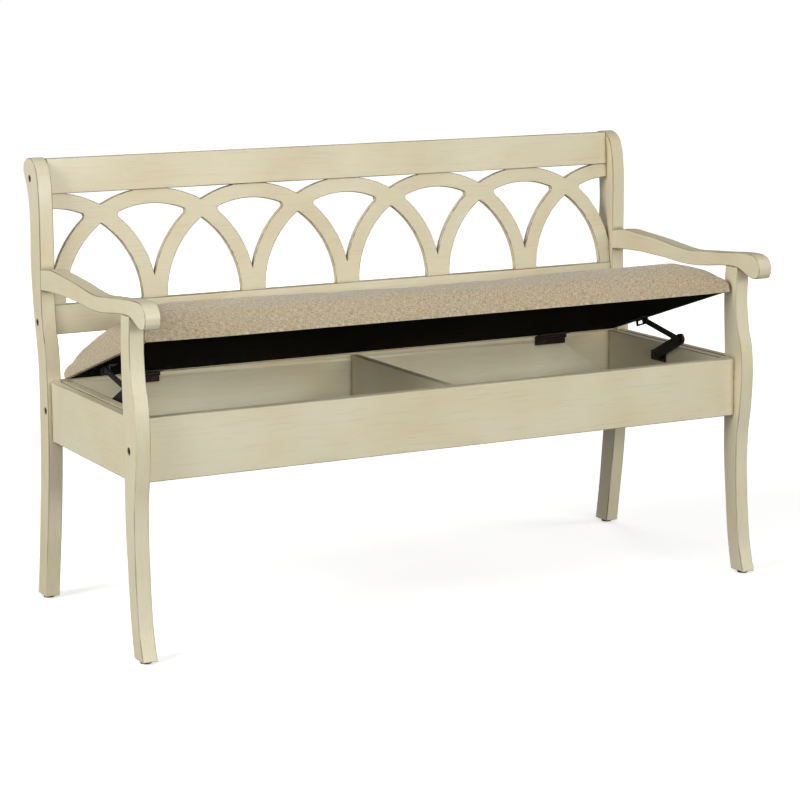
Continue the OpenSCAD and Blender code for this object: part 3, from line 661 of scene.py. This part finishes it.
def make_dust_cover():
    columns, rows = 140, 50
    width = DUST_X[1] - DUST_X[0]
    depth = DUST_U[1] - DUST_U[0]
    verts, faces = [], []
    for i in range(columns + 1):
        for j in range(rows + 1):
            x = DUST_X[0] + width * i / columns
            u = DUST_U[0] + depth * j / rows
            edge = min(x - DUST_X[0], DUST_X[1] - x, u - DUST_U[0], DUST_U[1] - u)
            slack = min(1, max(0, min(SAG_X - abs(x), SAG_FRONT - u, u - SAG_REAR) / SAG_REACH))
            run = x if min(u - DUST_U[0], DUST_U[1] - u) < PUCKERED_RIM else u
            pucker = math.sin(run * 2 * math.pi / STAPLE_GAP) * max(0, 1 - edge / PUCKER_REACH) * PUCKER
            wrinkle = noise.noise(Vector((x * 16, u * 16, 1.7))) * WRINKLE
            level = DUST_N[1] - DUST_T * (SHEET_LEVEL + pucker)
            verts.append(on_lid(x, u, level - slack * (SAG + wrinkle)))
    for i in range(columns):
        for j in range(rows):
            a = i * (rows + 1) + j
            faces.append((a, a + 1, a + rows + 2, a + rows + 1))
    sheet = new_object("dust_sheet", verts, faces)
    thick = sheet.modifiers.new("thick", "SOLIDIFY")
    thick.thickness = SHEET_T
    thick.offset = 0
    sheet.data.materials.append(DUST)
    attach(sheet, "lid")
    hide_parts("dust_cover")
    return sheet, width, depth


def staple_verts(x, u, turned):
    """A flat staple with bevelled ends, as an eight-point prism."""
    half, side = STAPLE_L / 2, STAPLE_W / 2
    low = DUST_N[1] - 0.55 * DUST_T
    outline = [(-half, 0), (-half + STAPLE_T, -STAPLE_T), (half - STAPLE_T, -STAPLE_T), (half, 0)]
    verts = []
    for s in (-side, side):
        for along, rise in outline:
            dx, du = (s, along) if turned else (along, s)
            verts.append(on_lid(x + dx, u + du, low + rise))
    return verts


def make_staples():
    spots = []
    x0, x1 = DUST_X[0] + STAPLE_INSET, DUST_X[1] - STAPLE_INSET
    u0, u1 = DUST_U[0] + STAPLE_INSET, DUST_U[1] - STAPLE_INSET
    count = round((x1 - x0) / STAPLE_GAP)
    for k in range(count + 1):
        x = x0 + (x1 - x0) * k / count
        spots += [(x, u1, False), (x, u0 + REAR_ROW, False)]
    count = round((u1 - u0 - 2 * REAR_ROW) / STAPLE_GAP)
    for k in range(1, count + 1):
        u = u0 + REAR_ROW + (u1 - u0 - REAR_ROW) * k / (count + 1)
        spots += [(x0, u, True), (x1, u, True)]
    verts, faces = [], []
    for x, u, turned in spots:
        base = len(verts)
        verts += staple_verts(x, u, turned)
        faces += [(base, base + 1, base + 2, base + 3), (base + 7, base + 6, base + 5, base + 4)]
        for k in range(4):
            m = (k + 1) % 4
            faces.append((base + k, base + 4 + k, base + 4 + m, base + m))
    staples = new_object("dust_sheet_staples", verts, faces, smooth=False)
    staples.data.materials.append(SCREW_BLACK)
    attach(staples, "lid")
    return staples


dust_sheet, dust_w, dust_d = make_dust_cover()
staples = make_staples()

# ---------------------------------------------------------------- ribs pressed into the stays' lower links


RIB_H = 0.0003            # low enough for the upper link to fold over them
RIB_W = 0.003
RIB_OFFSETS = (-0.0075, -0.0025, 0.0025, 0.0075)
LINK_T = 0.007            # thickness of a lower link


def rib_strip(name, side, a, b, offset, width, height, face_x):
    """A rounded rib on a link's inner face, between two points of the side view, shifted across it."""
    along = (b - a).normalized()
    across = Vector((0, -along.z, along.y))
    steps = 8
    verts, faces = [], []
    ends = [(a + along * 0.004, 0.15), (a + along * 0.010, 1),
            (b - along * 0.012, 1), (b - along * 0.006, 0.15)]
    for at, gain in ends:
        for k in range(steps + 1):
            turn = math.pi * k / steps
            place = at + across * (offset + width / 2 * math.cos(turn) * max(gain, 0.4))
            verts.append(Vector((side * (face_x - height * gain * math.sin(turn)), place.y, place.z)))
    for r in range(len(ends) - 1):
        for k in range(steps):
            m = r * (steps + 1) + k
            faces.append((m, m + 1, m + steps + 2, m + steps + 1))
    for r in (0, len(ends) - 1):
        faces.append(tuple(r * (steps + 1) + k for k in range(steps + 1)))
    rib = new_object(name, verts, faces)
    rib.data.materials.append(STAY_BLACK)
    return rib


def make_ribs():
    joints = {j["name"]: Vector(j["pos_m"]) for j in frame["joints"]}
    for side, word in ((-1, "left"), (1, "right")):
        link = NODES[word + "_stay_lower_link"]
        base, elbow = joints[word + "_stay_base_pivot"], joints[word + "_stay_elbow"]
        a, b = Vector((0, base.y, base.z)), Vector((0, elbow.y, elbow.z))
        xs = sorted({round(abs(v.co.x), 4) for v in link.data.vertices})
        face_x = xs[-1] - LINK_T + 0.0001
        for k, offset in enumerate(RIB_OFFSETS):
            rib = rib_strip(f"{word}_stay_rib_{k + 1}", side, a, b, offset, RIB_W, RIB_H, face_x)
            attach(rib, word + "_stay_lower")


make_ribs()

# ---------------------------------------------------------------- studio

STUDIO_R = 18


def stage_material(name, diffuse, near_glow, far_glow):
    """White that glows, more so far from the bench, where the lights don't reach."""
    g = Graph(name)
    g.set(colour=(diffuse, diffuse, diffuse, 1), rough=0.9, specular=0.0)
    g.shader.inputs["Emission Color"].default_value = (1, 1, 1, 1)
    away = g.add("ShaderNodeVectorMath", operation="LENGTH")
    g.join(g.place, away.inputs[0])
    g.join(g.span(away.outputs["Value"], 1.2, 7, near_glow, far_glow), g.shader.inputs["Emission Strength"])
    return g.material


def make_stage():
    """A pale floor and a white surround. They light nothing: only the lights and the world do."""
    rim = [(STUDIO_R * math.cos(a), STUDIO_R * math.sin(a)) for a in
           (2 * math.pi * k / 64 for k in range(64))]
    floor = new_object("studio_floor", [(x, y, 0) for x, y in rim], [tuple(range(64))], smooth=False)
    floor.data.materials.append(stage_material("studio_floor", 0.85, *FLOOR_GLOW))
    verts, faces = [], []
    rings = 12
    for k in range(rings + 1):
        tilt = math.pi / 2 * k / rings
        verts += [(x * math.cos(tilt), y * math.cos(tilt), STUDIO_R * math.sin(tilt) - 0.05) for x, y in rim]
    for k in range(rings):
        for m in range(64):
            n = (m + 1) % 64
            faces.append((k * 64 + m, k * 64 + n, k * 64 + 64 + n, k * 64 + 64 + m))
    surround = new_object("studio_surround", verts, faces)
    surround.data.materials.append(stage_material("studio_surround", 0.0, 1.0, 1.0))
    for piece in (floor, surround):
        piece.visible_diffuse = False
        piece.visible_glossy = False
        piece.visible_transmission = False
    surround.visible_shadow = False
    floor.visible_shadow = False


def make_light(name, at, size, power, target=(0, 0, 0.45)):
    data = bpy.data.lights.new(name, "AREA")
    data.shape = "RECTANGLE"
    data.size, data.size_y = size
    data.energy = power
    light = bpy.data.objects.new(name, data)
    light.location = at
    light.rotation_euler = (Vector(target) - Vector(at)).to_track_quat("-Z", "Y").to_euler()
    light.visible_glossy = name != "back"
    bpy.context.scene.collection.objects.link(light)


FLOOR_GLOW = (0.48, 0.9)
AMBIENT = 0.21
LIGHTS = {                # place, size in metres and power in watts
    "front": ((-0.1, -4.8, 1.6), (5.4, 0.8), 170),
    "back": ((0.8, 4.6, 2.0), (3.0, 1.5), 75),
    "right": ((4.6, -1.4, 2.4), (2.0, 2.0), 45),
    "left": ((-4.4, -0.8, 2.3), (2.2, 2.8), 185),
}


def make_studio():
    make_stage()
    world = bpy.data.worlds.new("studio")
    world.use_nodes = True
    background = world.node_tree.nodes["Background"]
    background.inputs["Color"].default_value = (1, 1, 1, 1)
    background.inputs["Strength"].default_value = AMBIENT
    bpy.context.scene.world = world
    for name, (at, size, power) in LIGHTS.items():
        make_light(name, at, size, power)
    bpy.context.scene.view_settings.view_transform = "Standard"


make_studio()
